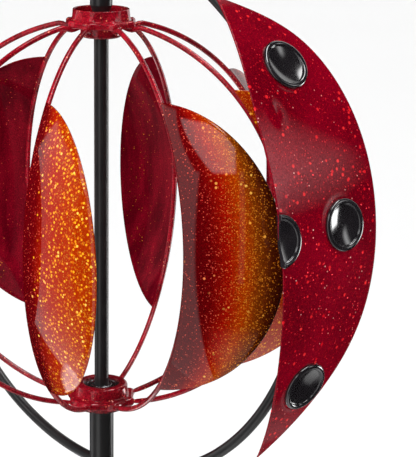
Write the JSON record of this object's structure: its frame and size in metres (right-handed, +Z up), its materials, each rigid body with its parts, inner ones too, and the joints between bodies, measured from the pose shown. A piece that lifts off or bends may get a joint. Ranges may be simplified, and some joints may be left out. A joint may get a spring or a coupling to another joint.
{
  "type": "garden windmill",
  "caption": "Pole-mounted garden windmill: a ball-shaped spinner of dished petals turns inside a ring with two long spotted leaf blades, on a ground fork.",
  "frame": {"origin": "on the pole's axis at ground level, where the fork's centre prong enters the soil", "axes": "+Z up the pole, +X to the right and +Y away from someone who faces the front of the windmill"},
  "size_m": [0.4144, 0.3825, 1.6602],
  "materials": {
    "black_enamel": "satin black powder coat",
    "zinc_steel": "plain zinc-plated steel",
    "bearing_steel": "ground steel",
    "bush_nylon": "black nylon",
    "red_glitter": "glossy red enamel with metal flake",
    "flame_glitter": "glossy red to orange enamel with gold flake",
    "crimson_glitter": "glossy crimson enamel with red flake",
    "gloss_black": "gloss black enamel"
  },
  "bodies": {
    "stand": {"step_bar": "black_enamel", "centre_prong": "black_enamel", "left_prong": "black_enamel", "right_prong": "black_enamel", "stake_socket": "black_enamel", "socket_screw": "zinc_steel", "lower_pole": "black_enamel", "middle_pole": "black_enamel", "upper_pole": "black_enamel", "lower_coupler": "zinc_steel", "upper_coupler": "zinc_steel", "coupler_screws": "zinc_steel", "pole_cap": "black_enamel", "spindle": "black_enamel", "thrust_washer": "zinc_steel", "bearing_spacer": "zinc_steel", "bearing_inner_race": "bearing_steel", "finial_washer": "zinc_steel", "finial": "black_enamel"},
    "ball_spinner": {"upper_hub": "red_glitter", "upper_hub_bush": "bush_nylon", "lower_hub": "red_glitter", "bearing_outer_race": "bearing_steel", "wire_1": "red_glitter", "wire_2": "red_glitter", "wire_3": "red_glitter", "wire_4": "red_glitter", "wire_5": "red_glitter", "wire_6": "red_glitter", "wire_7": "red_glitter", "wire_8": "red_glitter", "petal_1": "flame_glitter", "petal_2": "flame_glitter", "petal_3": "flame_glitter", "petal_4": "flame_glitter", "petal_5": "flame_glitter", "petal_6": "flame_glitter", "petal_7": "flame_glitter", "petal_8": "flame_glitter"},
    "outer_spinner": {"lower_sleeve": "black_enamel", "lower_sleeve_foot_bush": "bush_nylon", "lower_sleeve_head_bush": "bush_nylon", "upper_sleeve": "black_enamel", "upper_sleeve_bush": "bush_nylon", "half_ring_a": "black_enamel", "half_ring_b": "black_enamel", "blade_a": "crimson_glitter", "blade_b": "crimson_glitter", "spot_top_a": "gloss_black", "spot_side_a": "gloss_black", "spot_edge_a": "gloss_black", "spot_low_a": "gloss_black", "spot_top_b": "gloss_black", "spot_side_b": "gloss_black", "spot_edge_b": "gloss_black", "spot_low_b": "gloss_black"}
  },
  "joints": [
    {"name": "ball_spin", "type": "hinge", "parent": "stand", "child": "ball_spinner", "pos_m": [0, 0, 1.1888], "axis": [0, 0, 1], "continuous": true},
    {"name": "outer_spin", "type": "hinge", "parent": "stand", "child": "outer_spinner", "pos_m": [0, 0, 1.1888], "axis": [0, 0, 1], "continuous": true}
  ]
}
